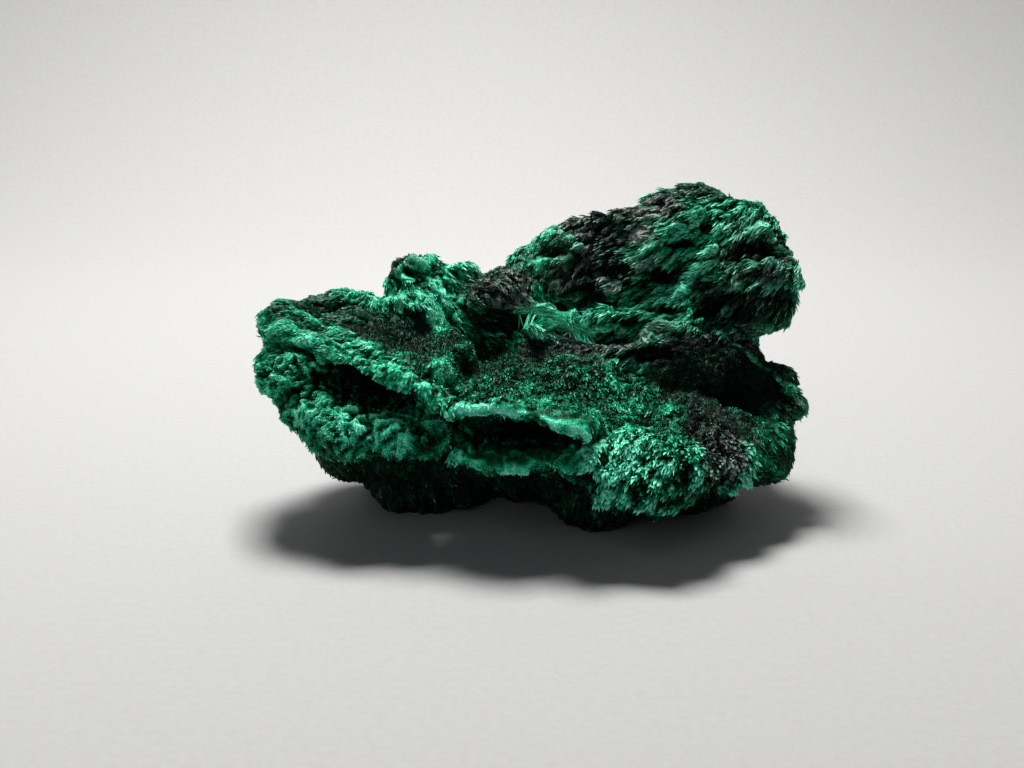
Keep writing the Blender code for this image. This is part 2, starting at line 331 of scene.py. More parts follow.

# raised edges: name: (width, height, tone, points along it), all in mm; the tone is a painted highlight
# along the edge
crestLines = {
    "shoulder": (1.3, 1.4, 0.8, [
        (38, 12, 43), (33, 12, 41), (29, 10, 39), (27, 9, 37), (25, 8, 35), (24, 7, 33),
    ]),
    "right edge": (1.3, 0.8, 0.7, [(38, 12, 42), (40, 12, 39), (42, 9, 37), (42, 8, 35)]),
    "tip band": (1.2, 1.2, 0.66, [(29, 8, 36), (33, 8, 38), (37, 7, 38), (41, 8, 36)]),
    "tip fold": (1.0, 1.0, 0.6, [(31, 7, 33), (34, 7, 35), (38, 6, 35)]),
    "massif foot": (1.1, 1.0, 0.72, [
        (11, 7, 26), (17, 4, 28), (23, 4, 29), (28, 8, 30), (32, 9, 30),
    ]),
    "middle edge": (0.7, 0.9, 0.66, [(17, 2, 26), (22, 3, 28), (27, 5, 28), (30, 4, 27)]),
    "recess edge": (0.7, 0.9, 0.6, [
        (30, 4, 27), (33, 3, 25), (37, 3, 22), (40, 0, 20), (42, -2, 17),
    ]),
    "slope fold": (0.8, 1.0, 0.68, [
        (3, -1, 24), (7, -1, 25), (11, 0, 25), (14, 1, 24), (18, 1, 24),
    ]),
    "bowl rim": (1.6, 0.9, 0.85, [(-16, 14, 33), (-13, 12, 31), (-11, 10, 28), (-10, 9, 26)]),
    "knob fold": (0.7, 0.8, 0.7, [
        (-19, 14, 33), (-20.5, 15.5, 34.5), (-19.5, 16, 36), (-17.5, 15.5, 36), (-16, 15, 35),
    ]),
    "rim fold": (0.8, 0.7, 0.88, [(-26, 10, 31), (-22, 10, 31.5), (-18, 10, 31), (-14, 9, 28)]),
    "saddle fold": (0.9, 0.9, 0.8, [
        (-14, 14, 33), (-12.5, 15, 34.5), (-11, 15.5, 35.5), (-9.5, 15.5, 36),
    ]),
    "pocket rim": (0.8, 1.0, 0.72, [
        (-0.5, 14, 38.5), (1, 15, 40.5), (3.5, 14, 41), (6, 12, 41), (7.5, 11, 40),
    ]),
    "pocket fold": (0.7, 0.8, 0.66, [(1, 11, 36.5), (3, 11, 37.2), (5, 11, 38.2), (7, 11, 39)]),
    "left ridge": (1.1, 0.7, 0.86, [
        (-38, -3, 30), (-33, -6, 30), (-28, -6, 28), (-24, -8, 27), (-19, -12, 26),
        (-16, -14, 25),
    ]),
    "ridge strand": (0.8, 0.5, 0.76, [
        (-37, 3, 31), (-30, -1, 30), (-25, -5, 28), (-20, -8, 26), (-15, -9, 23),
    ]),
    "upper lip": (0.65, 0.5, 1.2, [
        (-12, -17, 22), (-8, -18.5, 23), (-3, -19, 22.8), (0.5, -18.7, 22), (3, -20.3, 21.2),
        (7, -21.8, 20.6), (9, -21.5, 19),
    ]),
    "lower lip": (0.6, 0.3, 0.98, [
        (-11.5, -15.5, 14.6), (-8, -17.3, 14.4), (-4.5, -19, 14.2), (-1, -20.3, 14.8),
        (2.3, -20.4, 15.8), (5, -20, 17), (8, -21, 18.5),
    ]),
    "outer curl": (0.8, 0.6, 1.2, [
        (-3, 8, 28.5), (-2, 8, 30.5), (0, 8, 31), (3, 8, 31), (6, 8, 30), (8, 6, 29),
        (9.5, 6, 26.5),
    ]),
    "inner curl": (0.6, 0.8, 1.2, [
        (-1, 7, 27.5), (1, 7, 29.3), (3.5, 7, 29.3), (5.5, 6, 28.3), (7, 4.5, 26.8),
        (8, 3, 25.8),
    ]),
    "low curl": (0.5, 0.7, 0.8, [(0, 4.5, 26.6), (2, 3.5, 27.6), (4, 3, 27.2), (6, 2.5, 26.2)]),
    "green steps": (1.1, 1.2, 0.68, [(5, 8, 32), (11, 6, 31), (15, 6, 33), (19, 6, 32)]),
    "lower steps": (1.1, 1.1, 0.66, [(5, 7, 29), (10, 6, 28), (14, 4, 30), (20, 5, 31)]),
    "peak fold": (1.4, 1.0, 0.6, [(17, 10, 39), (21, 11, 41), (24, 12, 44), (27, 13, 45)]),
}

# pockets: (middle, half sizes, depth, tone), all in mm; each is sunk by its depth and given painted shade
# down to its tone
pockets = [
    ((32, 8, 31), (6, 5, 2.6), 0.6, 0.14),
    ((35, 9, 39.5), (4.5, 4, 1.6), 0.7, 0.12),
    ((28, 12, 43), (1.3, 4, 1.1), 0.8, 0.16),
    ((39, 8, 31), (3.5, 5, 3), 0.6, 0.12),
    ((24, 8, 36), (3.5, 4, 1), 0.8, 0.14),
    ((21, 6, 31), (3, 4, 0.8), 0.8, 0.12),
    ((12, 6, 29.5), (3, 4, 0.8), 0.9, 0.1),
    ((17, 7, 34.6), (3, 4, 0.7), 0.8, 0.1),
    ((27, 8, 34.5), (2.6, 4, 0.8), 0.8, 0.1),
    ((24, 11, 40.5), (2.6, 4, 0.8), 0.7, 0.14),
    ((16, 5, 29.2), (2.5, 4, 0.7), 0.8, 0.1),
    ((19, 2, 25), (3, 3, 1.2), 0.5, 0.08),
    ((20, -22, 10.5), (2.5, 4, 1.2), 1.2, 0.08),
    ((15, -23, 12.5), (1.4, 3, 1.6), 1.0, 0.12),
    ((24, -19, 11), (1.6, 4, 2), 1.0, 0.1),
    ((3, 11, 39), (2.5, 3, 0.9), 0.7, 0.14),
    ((34, 3, 20), (6, 5, 3.4), 0.4, 0.06),
    ((-22, -8, 22), (8, 5, 3), 0.6, 0.05),
    ((-6, 10, 28.6), (6.5, 4, 2.2), 0.4, 0.04),
    ((9, 7, 33), (4, 4, 2.2), 1.4, 0.08),
    ((-28, -8, 24.5), (5, 4, 1.6), 0.5, 0.08),
    ((-15, -16, 17), (2.2, 3, 1.6), 1.2, 0.1),
    ((-2, -15, 18.3), (9, 5, 1.8), 0.3, 0.04),
    ((7, -20, 12), (3, 4, 2.6), 1.6, 0.06),
    ((13, -23, 8.5), (5, 4, 2), 1.6, 0.08),
    ((21, -20, 14), (1.6, 4, 2.4), 1.0, 0.14),
    ((20, 9, 36), (2.4, 4, 1.2), 1.4, 0.14),
    ((14, 8, 36.5), (3, 4, 1.6), 1.5, 0.08),
]


def softInside(points, middle, halfSizes, edge, wander=0.0):
    # 1 inside the ellipsoid, 0 outside, soft over the edge
    reach = np.linalg.norm((points - middle) / halfSizes, axis=1) + wander
    rise = np.clip((1 + edge - reach) / (2 * edge), 0, 1)
    return rise * rise * (3 - 2 * rise)


def offLine(points, corners):
    # distance from each point to a line through the corners
    best = np.full(len(points), np.inf)
    for start, end in zip(np.array(corners[:-1], float), np.array(corners[1:], float)):
        span = end - start
        part = np.clip((points - start) @ span / (span @ span), 0, 1)
        best = np.minimum(best, np.linalg.norm(points - start - part[:, None] * span, axis=1))
    return best


def cloudsAt(points, size, seed):
    # smooth noise, about -1 to 1, at each point
    place = points / size + seed * 7.3
    cell = np.floor(place).astype(np.int64)
    part = place - cell
    ease = part * part * (3 - 2 * part)
    total = np.zeros(len(points))
    for corner in np.ndindex(2, 2, 2):
        spot = cell + corner
        code = spot[:, 0] * 73856093 ^ spot[:, 1] * 19349663 ^ spot[:, 2] * 83492791
        code = ((code ^ (code >> 13)) * 1274126177) & 0xFFFFFF
        slopes = ((code[:, None] >> np.array([0, 8, 16])) & 255) / 127.5 - 1
        weight = np.prod(np.where(corner, ease, 1 - ease), axis=1)
        total += weight * np.sum(slopes * (part - corner), axis=1)
    return total * 1.4


def shaken(points, size, amount, seeds):
    # the points pushed about by smooth noise
    return points + amount * np.stack([cloudsAt(points, size, seed) for seed in seeds], axis=1)


def unit(vectors):
    return vectors / np.maximum(np.linalg.norm(vectors, axis=1), 1e-9)[:, None]


def readVectors(collection, field, count):
    values = np.empty(count * 3)
    collection.foreach_get(field, values)
    return values.reshape(-1, 3)


def writeAttribute(mesh, name, values, kind="FLOAT"):
    if name in mesh.attributes:
        mesh.attributes.remove(mesh.attributes[name])
    field = {"FLOAT": "value", "FLOAT_VECTOR": "vector"}[kind]
    mesh.attributes.new(name, kind, "POINT").data.foreach_set(field, np.asarray(values, float).ravel())


# the crust is the specimen's own body

crustSettings = {
    "grain": 0.34 * mm,      # how finely the body is remade
    "smoothRounds": 6,
    "keptFaces": 190000,
    "fibreWander": ((6.0, 0.4), (2.4, 0.3)),   # size in mm and strength of each turn of the fibres
    "fibreStray": 0.16,      # how far neighbouring bundles differ in direction
    "ruffleSize": 2.2,       # sizes and depths from here on are in mm
    "ruffleDepth": 2.5,
    "frillShare": 0.42,      # size of the small ruffles against the big ones
    "grainSize": 0.9,
    "grainDepth": 0.3,
    "tuftSize": 2.6,
    "tuftDepth": 0.45,
    "bend": (3.2, 1.1),      # size and amount of the noise that bends the ruffles
    "drift": (2.5, 0.7),     # the same for raised edges and pockets
    "crestReach": 1.1,       # how fast a point that stands out counts as a crest
}

# bundles of fibres and the locks in them: spacing and depth in mm, how much longer than wide they
# are, and what makes them high: the way to the tip, the distance off the middle line and luck
bundleSettings = {
    "spacing": 1.8, "stretch": 2.7, "depth": 1.9, "rise": 0.6,
    "tip": 0.55, "side": 0.4, "luck": 0.25, "forward": 0.5, "seed": 5,
}
lockSettings = {
    "spacing": 0.9, "stretch": 3.0, "depth": 0.9, "rise": 1.0,
    "tip": 0.5, "side": 0.5, "luck": 0.2, "forward": 0.5, "seed": 9,
}

# how much of each pattern each kind of surface takes
patternShares = {
    "silk": {"combed": 1.0, "plate": 0.5, "rough": 0.5, "chipped": 0.7, "ruffled": 0.25},
    "curled": {"ruffled": 1.0, "rough": 0.25, "chipped": 0.8, "plate": 0.15},
    "grit": {"grainy": 0.35, "drusy": 0.15},
}

# how much the tone changes: luck, specks and chips vary it at random; the rest is painted light, lighter on
# the tops of bundles, ruffles and tufts and along raised edges, with painted shade in their troughs and off
# the bundles' middle lines
toneSettings = {
    "bundleLuck": 0.1, "lockLuck": 0.1, "specks": 0.16,
    "fold": 0.2, "frill": 0.26, "ruffleBase": 0.12,
    "chips": 0.2, "tufts": 0.28, "edgeHighlight": 0.9,
    "tip": 0.1, "side": 0.12, "lockSide": 0.1, "silkBase": 0.08,
    "lightest": 1.15,
}


def copyBody(node, grain, rounds):
    # a fine, smooth and closed copy of the CAD solid
    data = node.data.copy()
    data.materials.clear()
    mesh = bmesh.new()
    mesh.from_mesh(data)
    bmesh.ops.remove_doubles(mesh, verts=mesh.verts, dist=0.001 * mm)
    mesh.to_mesh(data)
    mesh.free()
    body = addThing("silky_crust", data)
    remake = body.modifiers.new("remake", "REMESH")
    remake.mode = "VOXEL"
    remake.voxel_size = grain
    soften = body.modifiers.new("soften", "SMOOTH")
    soften.iterations = rounds
    soften.factor = 0.5
    return applyAll(body)


def layFlat(runs, normals):
    # the part of each direction that lies along the surface
    return unit(runs - normals * np.sum(runs * normals, axis=1)[:, None])


def markKinds(points, normals):
    # the share of each kind of surface at each point
    wander = 0.16 * cloudsAt(points, 4.0, 3.1) + 0.1 * cloudsAt(points, 1.6, 8.7)
    rest = np.ones(len(points))
    kinds = {}
    for kind, patches in surfaceKinds.items():
        inside = np.zeros(len(points))
        for middle, halfSizes in patches:
            inside = np.maximum(inside, softInside(points, middle, halfSizes, 0.14, wander))
        for other in kinds:
            kinds[other] = kinds[other] * (1 - inside)
        rest = rest * (1 - inside)
        kinds[kind] = inside
    away = np.clip((normals[:, 1] - 0.25) / 0.3, 0, 1)
    under = np.clip((-normals[:, 2] - 0.35) / 0.3, 0, 1)
    hidden = np.maximum(away, under)
    for kind in kinds:
        kinds[kind] = kinds[kind] * (1 - hidden)
    kinds["rough"] = np.maximum(rest, hidden)
    return kinds


def fibreDirections(points, normals):
    runs = np.zeros((len(points), 3))
    for middle, reach, direction in fibreRuns:
        weight = np.exp(-np.sum((points - middle) ** 2, axis=1) / (2 * reach * reach)) + 1e-6
        runs += weight[:, None] * np.array(direction) / np.linalg.norm(direction)
    strength = np.linalg.norm(runs, axis=1)
    (size, share), (smallSize, smallShare) = crustSettings["fibreWander"]
    for axis, seed in enumerate((11.0, 23.0, 37.0)):
        wander = share * cloudsAt(points, size, seed)
        runs[:, axis] += strength * (wander + smallShare * cloudsAt(points, smallSize, seed + 50))
    return layFlat(runs, normals)


def toneAt(points):
    tone = np.full(len(points), 0.5)
    soot = np.zeros(len(points))
    wander = 0.3 * cloudsAt(points, 3.0, 51.0) + 0.2 * cloudsAt(points, 1.2, 67.0)
    for middle, halfSizes, value in tonePatches:
        share = softInside(points, middle, halfSizes, 0.3, wander)
        tone = tone + (value - tone) * share
    for middle, halfSizes, value in sootPatches:
        soot = np.maximum(soot, value * softInside(points, middle, halfSizes, 0.25, wander * 1.4))
    return tone + 0.1 * cloudsAt(points, 2.0, 5.0), soot


def spreadSeeds(points, spacing, seed):
    # about one point for every box of this size
    order = np.random.default_rng(seed).permutation(len(points))
    first = np.unique(np.floor(points[order] / spacing), axis=0, return_index=True)[1]
    return order[first]


def gatherBundles(points, runs, settings):
    # which bundle each point belongs to, how far along it the point is and how far off its middle line
    spacing, stretch = settings["spacing"], settings["stretch"]
    chosen = spreadSeeds(points, spacing, settings["seed"])
    finder = KDTree(len(chosen))
    for place, number in enumerate(chosen):
        finder.insert(points[number], place)
    finder.balance()
    near = np.array([[found[1] for found in finder.find_n(point, 8)] for point in points])
    offsets = points[:, None, :] - points[chosen][near]
    seedRuns = runs[chosen][near]
    along = np.sum(offsets * seedRuns, axis=2)
    aside = offsets - along[:, :, None] * seedRuns
    across = np.linalg.norm(aside, axis=2)
    pick = np.argmin((along / stretch) ** 2 + across ** 2, axis=1)
    rows = np.arange(len(points))
    half = spacing * 0.62
    return near[rows, pick], along[rows, pick] / (half * stretch), aside[rows, pick] / half


def bundleHeight(settings, along, off, luck):
    # about -1 to 1, highest at the tip of a bundle and on its middle line
    return np.clip(settings["tip"] * along - settings["side"] * off ** 2 + settings["luck"] * luck, -1, 1)


def tipReach(settings, silk, along):
    # how far the tip of a bundle reaches out over the next one
    return silk * np.clip(along, 0, 1) ** 2 * settings["depth"] * settings["forward"]


def blend(kinds, pattern):
    return sum(share * kinds[kind] for kind, share in patternShares[pattern].items())


def ridgesAt(points, size, seed):
    # 1 on winding ridge lines, falling away on both sides
    return 1 - 2.2 * np.abs(cloudsAt(points, size, seed))


def sculptCrust(body, low):
    # marks the surface, then raises bundles, ruffles and grains on it
    settings, tones = crustSettings, toneSettings
    mesh = body.data
    count = len(mesh.vertices)
    points = readVectors(mesh.vertices, "co", count) / mm
    normals = readVectors(mesh.vertices, "normal", count)
    kinds = markKinds(points, normals)
    runs = fibreDirections(points, normals)
    tone, soot = toneAt(points)

    bundles, along, aside = gatherBundles(points, runs, bundleSettings)
    locks, lockAlong, lockAside = gatherBundles(points, runs, lockSettings)
    off = np.linalg.norm(aside, axis=1)
    lockOff = np.linalg.norm(lockAside, axis=1)
    pick = np.random.default_rng(3)
    bundleLuck = pick.uniform(-1, 1, bundles.max() + 1)[bundles]
    stray = pick.normal(0, settings["fibreStray"], (bundles.max() + 1, 3))[bundles]
    runs = layFlat(runs + stray, normals)
    lockLuck = pick.uniform(-1, 1, locks.max() + 1)[locks]
    leaf = bundleHeight(bundleSettings, along, off, bundleLuck)
    strand = bundleHeight(lockSettings, lockAlong, lockOff, lockLuck)

    silk = blend(kinds, "silk")
    curled = blend(kinds, "curled")
    grit = blend(kinds, "grit")
    bent = shaken(points, *settings["bend"], (71.0, 83.0, 97.0))
    fold = ridgesAt(bent, settings["ruffleSize"], 13.0)
    frill = ridgesAt(bent, settings["ruffleSize"] * settings["frillShare"], 29.0)
    tufts = cloudsAt(bent, settings["tuftSize"], 7.0)
    fine = cloudsAt(points, settings["grainSize"], 41.0) + 0.6 * cloudsAt(points, 2.2, 43.0)

    leaf = leaf * bundleSettings["depth"] * bundleSettings["rise"]
    strand = strand * lockSettings["depth"] * lockSettings["rise"]
    height = silk * (leaf + strand)
    ruffle = curled * (fold * 0.45 + frill * 0.5) + grit * frill
    height = height + ruffle * settings["ruffleDepth"] * 0.5
    height = height + fine * settings["grainDepth"] + settings["tuftDepth"] * kinds["grainy"] * tufts

    drift = shaken(points, *settings["drift"], (31.0, 33.0, 35.0))
    for middle, halfSizes, depth, value in pockets:
        share = softInside(drift, middle, halfSizes, 0.3)
        height = height - share * depth
        # painted shade in the pocket
        tone = tone + (value - tone) * share
    for width, rise, value, corners in crestLines.values():
        share = np.exp(-(offLine(drift, corners) / width) ** 2)
        height = height + share * rise * (0.75 + 0.5 * np.minimum(silk, 1) * bundleLuck)
        # painted highlight along the raised edge, which also takes soot off it
        tone = tone + (value - tone) * share * tones["edgeHighlight"]
        soot = soot * (1 - 0.7 * share)

    forward = tipReach(bundleSettings, silk, along) + tipReach(lockSettings, silk, lockAlong)
    moved = (points + normals * height[:, None] + runs * forward[:, None]) * mm
    moved[:, 2] = np.maximum(moved[:, 2], low)
    mesh.vertices.foreach_set("co", moved.ravel())
    mesh.update()

    tone = tone + tones["bundleLuck"] * bundleLuck + tones["lockLuck"] * lockLuck
    tone = tone + tones["specks"] * cloudsAt(points, 0.8, 19.0)
    # painted light: lighter on the tops of ruffles and tufts, painted shade in their troughs
    tone = tone + curled * (tones["fold"] * fold + tones["frill"] * frill - tones["ruffleBase"])
    tone = tone + tones["chips"] * kinds["chipped"] * cloudsAt(points, 1.4, 23.0)
    tone = tone + tones["tufts"] * kinds["grainy"] * tufts
    # painted light: lighter towards each bundle's raised tip, painted shade off its middle line
    shadeOff = tones["side"] * off ** 2
    lockShade = tones["lockSide"] * lockOff ** 2
    tone = tone + silk * (tones["tip"] * np.clip(along, -1, 1) - shadeOff - lockShade + tones["silkBase"])
    soot = np.clip(soot + 0.25 * soot * bundleLuck, 0, 1)

    for kind, values in kinds.items():
        writeAttribute(mesh, kind, values)
    writeAttribute(mesh, "run", runs, "FLOAT_VECTOR")
    writeAttribute(mesh, "up", normals, "FLOAT_VECTOR")
    writeAttribute(mesh, "pull", -(aside * 0.6 + lockAside * 0.4), "FLOAT_VECTOR")
    writeAttribute(mesh, "soot", soot)
    writeAttribute(mesh, "tone", np.clip(tone, 0, tones["lightest"]))


def thinOut(body, kept):
    # fewer faces where the surface is plain
    thin = body.modifiers.new("thin", "DECIMATE")
    thin.ratio = kept / (2 * len(body.data.polygons))
    applyAll(body)


def markCrests(body):
    # how far each point stands out of its surroundings, 0 in a hollow and 1 on a crest
    mesh = body.data
    points = readVectors(mesh.vertices, "co", len(mesh.vertices)) / mm
    blurred = addThing("blurred", mesh.copy())
    blur = blurred.modifiers.new("blur", "SMOOTH")
    blur.iterations = 30
    blur.factor = 0.7
    applyAll(blurred)
    around = readVectors(blurred.data.vertices, "co", len(points)) / mm
    bpy.data.objects.remove(blurred)
    normals = readVectors(mesh.vertices, "normal", len(points))
    proud = np.sum((points - around) * normals, axis=1)
    writeAttribute(mesh, "proud", np.clip(0.5 + proud * crustSettings["crestReach"], 0, 1))


# malachite, from near-black green through strong green to pale mint

malachiteColours = {
    "green": [
        (0.0, (0.0003, 0.002, 0.001)),
        (0.3, (0.0006, 0.018, 0.008)),
        (0.5, (0.0012, 0.085, 0.036)),
        (0.68, (0.0025, 0.270, 0.122)),
        (0.85, (0.016, 0.570, 0.305)),
        (1.0, (0.190, 0.880, 0.610)),
    ],
    "soot": [
        (0.0, (0.0006, 0.0006, 0.0006)),
        (0.4, (0.0040, 0.0042, 0.0042)),
        (0.7, (0.034, 0.038, 0.037)),
        (1.0, (0.260, 0.290, 0.275)),
    ],
    "glint": (0.4, 1.0, 0.75, 1),
    "hollow": (0.0, 0.004, 0.002, 1),   # painted shade, mixed in at the crust's hollows and at the blades' roots
}


def stoneColour(board, value, soot):
    green = board.add("ShaderNodeValToRGB", {"stops": malachiteColours["green"]}, {0: value})
    grey = board.add("ShaderNodeValToRGB", {"stops": malachiteColours["soot"]}, {0: value})
    return board.mixColour(soot, green, grey)


def principled(material):
    tree = material.node_tree
    tree.nodes.clear()
    board = Board(tree)
    shader = tree.nodes.new("ShaderNodeBsdfPrincipled")
    leave = tree.nodes.new("ShaderNodeOutputMaterial")
    tree.links.new(shader.outputs[0], leave.inputs[0])
    return board, shader


def newMaterial(name):
    material = bpy.data.materials.new(name)
    material.use_nodes = True
    return material


def shaderAttribute(board, name, output="Fac"):
    return board.add("ShaderNodeAttribute", {"attribute_name": name}, {}, output)


crustLook = {
    "speckleScale": 1100.0, "speckle": 0.5,
    "mottleScale": 350.0, "mottle": 0.3,
    "tone": 0.85, "reliefLightShade": 0.6,         # what the marked tone adds, and the painted highlight on crests with painted shade in hollows
    # painted shade in the hollows: the least share of its own colour the crust keeps there
    "hollowShade": 0.2,
    "roughness": 0.35, "glint": 0.2,
    "bumpScale": 1500.0, "bumpStrength": 0.6, "bumpDepth": 0.2 * mm,
}


def crustMaterial():
    look = crustLook
    material = newMaterial("malachite_crust")
    board, shader = principled(material)
    place = board.add("ShaderNodeTexCoord", {}, {}, "Object")
    tone = shaderAttribute(board, "tone")
    proud = shaderAttribute(board, "proud")
    speckle = board.noise(place, look["speckleScale"], 3.0)
    mottle = board.noise(place, look["mottleScale"], 2.0)
    value = tone * look["tone"] + (speckle - 0.5) * look["speckle"]
    # painted light: lighter where the crust stands out, painted shade in its hollows
    value = value + (mottle - 0.5) * look["mottle"] + (proud - 0.5) * look["reliefLightShade"]
    colour = stoneColour(board, value, shaderAttribute(board, "soot"))
    # painted shade: the crust's hollows are mixed towards a near-black colour
    shade = proud.between(0.1, 0.7) * (1 - look["hollowShade"]) + look["hollowShade"]
    board.feed(shader.inputs["Base Color"], board.mixColour(shade, malachiteColours["hollow"], colour))
    board.feed(shader.inputs["Roughness"], look["roughness"] + speckle * 0.35)
    grain = board.noise(place, look["bumpScale"], 3.0)
    bumps = {"Strength": look["bumpStrength"], "Distance": look["bumpDepth"], "Height": grain}
    board.feed(shader.inputs["Normal"], board.add("ShaderNodeBump", {}, bumps))
    shader.inputs["Specular IOR Level"].default_value = look["glint"]
    shader.inputs["Specular Tint"].default_value = malachiteColours["glint"]
    return material


bladeLook = {
    "rootShade": 0.25,      # painted shade: how much of its colour a blade keeps at the root
    "tipLift": 0.35,        # how much lighter the tip is than the root: partly the paler fibre ends, partly painted highlight
    "roughness": 0.32,
    "glint": 0.22,
}


def bladeMaterial(name, roughness):
    # colour runs from painted shade at the root to a lighter tip, partly paler fibre ends and partly
    # painted highlight, on each blade's own tone
    material = newMaterial(name)
    board, shader = principled(material)
    along = shaderAttribute(board, "along")
    tone = shaderAttribute(board, "tone")
    value = tone + (along - 0.5) * bladeLook["tipLift"]
    colour = stoneColour(board, value, shaderAttribute(board, "soot"))
    # painted shade at the root, mixed towards the near-black shade colour
    shade = along.between(0.0, 0.75) * (1 - bladeLook["rootShade"]) + bladeLook["rootShade"]
    board.feed(shader.inputs["Base Color"], board.mixColour(shade, malachiteColours["hollow"], colour))
    board.feed(shader.inputs["Roughness"], roughness + (1 - along) * 0.2)
    shader.inputs["Specular IOR Level"].default_value = bladeLook["glint"]
    shader.inputs["Specular Tint"].default_value = malachiteColours["glint"]
    return material


# blades, chips and grains that stand on the crust

bladeShape = {
    "lengths": (0.6, 1.35),             # shortest and longest against the set length
    "widths": (0.7, 1.3),
    "liftSpread": 10.0,                 # degrees either way
    "swell": 2.2,                       # how much a blade widens from its root on
    "smoothUp": 0.6,                    # share of the smooth body's normal in what counts as up
    "hollowLength": 0.5,                # length in a hollow, and what is added on a crest
    "crestLength": 0.8,
    # painted highlight on crests and painted shade in hollows, in the blades' tone
    "bladeReliefLightShade": 0.85,
    "sootCut": 0.4,                     # how much shorter blades are where it is sooty
    "clear": (0.3 * mm, 0.9 * mm),      # heights above the floor between which blades set in
    "margin": 0.1,                      # free edge of each blade's square of the sheet
}


def bladeTree(name):
    sizes = {
        "Where": "combed", "Spacing": 0.5 * mm, "Density": 3e7, "Length": 2.0 * mm, "Width": 0.45 * mm,
        "Flatness": 0.5, "Lift": 25.0, "Gather": 0.5, "Scatter": 0.3, "Bend": 0.2, "Tone spread": 0.15,
        "Seed": 1,
    }
    tree, board, given = newTree(name, sizes)

    def chance(low, high, number):
        inputs = {2: low, 3: high, "Seed": given["Seed"] + number}
        return board.add("FunctionNodeRandomValue", {"data_type": "FLOAT"}, inputs, 1)

    # where the roots are
    own = board.add("GeometryNodeInputPosition")
    spread = tree.nodes.new("GeometryNodeDistributePointsOnFaces")
    spread.distribute_method = "POISSON"
    inKind = board.attribute(given["Where"]).between(0.25, 0.75)
    offFloor = board.split(own)[2].between(*bladeShape["clear"])
    board.feed(spread.inputs["Mesh"], given["Geometry"])
    board.feed(spread.inputs["Distance Min"], given["Spacing"])
    board.feed(spread.inputs["Density Max"], given["Density"])
    board.feed(spread.inputs["Density Factor"], inKind * offFloor)
    board.feed(spread.inputs["Seed"], given["Seed"])
    points = Wire(board, spread.outputs["Points"])
    normal = Wire(board, spread.outputs["Normal"])

    # which way each blade points
    jitter = board.add(
        "FunctionNodeRandomValue", {"data_type": "FLOAT_VECTOR"},
        {0: (-1, -1, -1), 1: (1, 1, 1), "Seed": given["Seed"]},
    )
    lift = given["Lift"] + chance(-bladeShape["liftSpread"], bladeShape["liftSpread"], 5)
    tilt = board.maths("MULTIPLY", lift, math.pi / 180)
    pull = board.stretch(board.attribute("pull", "FLOAT_VECTOR"), given["Gather"])
    flatAim = board.vector("ADD", board.attribute("run", "FLOAT_VECTOR"), pull)
    smoothUp = board.stretch(board.attribute("up", "FLOAT_VECTOR"), bladeShape["smoothUp"])
    stand = board.vector("ADD", smoothUp, board.stretch(normal, 1 - bladeShape["smoothUp"]))
    aim = board.vector(
        "ADD",
        board.stretch(flatAim, board.maths("COSINE", tilt)),
        board.stretch(stand, board.maths("SINE", tilt)),
    )
    aim = board.vector("ADD", aim, board.stretch(jitter, given["Scatter"]))
    turn = board.add(
        "FunctionNodeAxesToRotation", {"primary_axis": "Z", "secondary_axis": "Y"},
        {"Primary Axis": aim, "Secondary Axis": normal},
    )

    # its size, tone and number
    proud = board.attribute("proud")
    length = given["Length"] * chance(*bladeShape["lengths"], 2)
    length = length * (proud * bladeShape["crestLength"] + bladeShape["hollowLength"])
    length = length * (1 - board.attribute("soot") * bladeShape["sootCut"])
    width = given["Width"] * chance(*bladeShape["widths"], 3)
    size = board.join(width, width * given["Flatness"], length)
    # painted light: blades lighter on crests, painted shade in hollows
    tone = board.attribute("tone") + (proud - 0.5) * bladeShape["bladeReliefLightShade"]
    tone = tone + chance(-1.0, 1.0, 4) * given["Tone spread"]
    points = board.store(points, "tone", tone)
    points = board.store(points, "cell", board.add("GeometryNodeInputIndex"))
    total = board.add(
        "GeometryNodeAttributeDomainSize", {"component": "POINTCLOUD"}, {0: points}, "Point Count"
    )
    sheet = board.maths("CEIL", board.maths("SQRT", total))

    # one blade: a three-sided spindle with its root at the origin
    cone = board.add(
        "GeometryNodeMeshCone", {"fill_type": "TRIANGLE_FAN"},
        {
            "Vertices": 3, "Side Segments": 2, "Fill Segments": 1,
            "Radius Top": 0.0, "Radius Bottom": 0.5, "Depth": 1.0,
        },
    )
    across, over, along = board.split(own)
    swell = 1 + along * bladeShape["swell"]
    place = board.join(across * swell, over * swell + along * along * given["Bend"], along)
    spindle = board.add("GeometryNodeSetPosition", {}, {"Geometry": cone, "Position": place})
    spindle = board.store(spindle, "along", along)
    around = board.maths("ARCTAN2", over, across) / (2 * math.pi) + 0.5
    spindle = board.store(spindle, "round", around)
    stood = board.add(
        "GeometryNodeInstanceOnPoints", {},
        {"Points": points, "Instance": spindle, "Rotation": turn, "Scale": size},
    )
    real = board.add("GeometryNodeRealizeInstances", {}, {0: stood})

    # no tip goes through the floor
    x, y, z = board.split(own)
    level = board.join(x, y, board.maths("MAXIMUM", z, 0.0))
    real = board.add("GeometryNodeSetPosition", {}, {"Geometry": real, "Position": level})

    # every blade has its own small square of the sheet
    cell = board.attribute("cell")
    row = board.maths("FLOOR", cell / sheet)
    column = cell - row * sheet
    margin = bladeShape["margin"]
    u = (column + margin + board.attribute("round") * (1 - 2 * margin)) / sheet
    v = (row + margin + board.attribute("along") * (1 - 2 * margin)) / sheet
    return tree, board, board.store(real, "OFBake", board.join(u, v, 0.0), "FLOAT2", "CORNER")


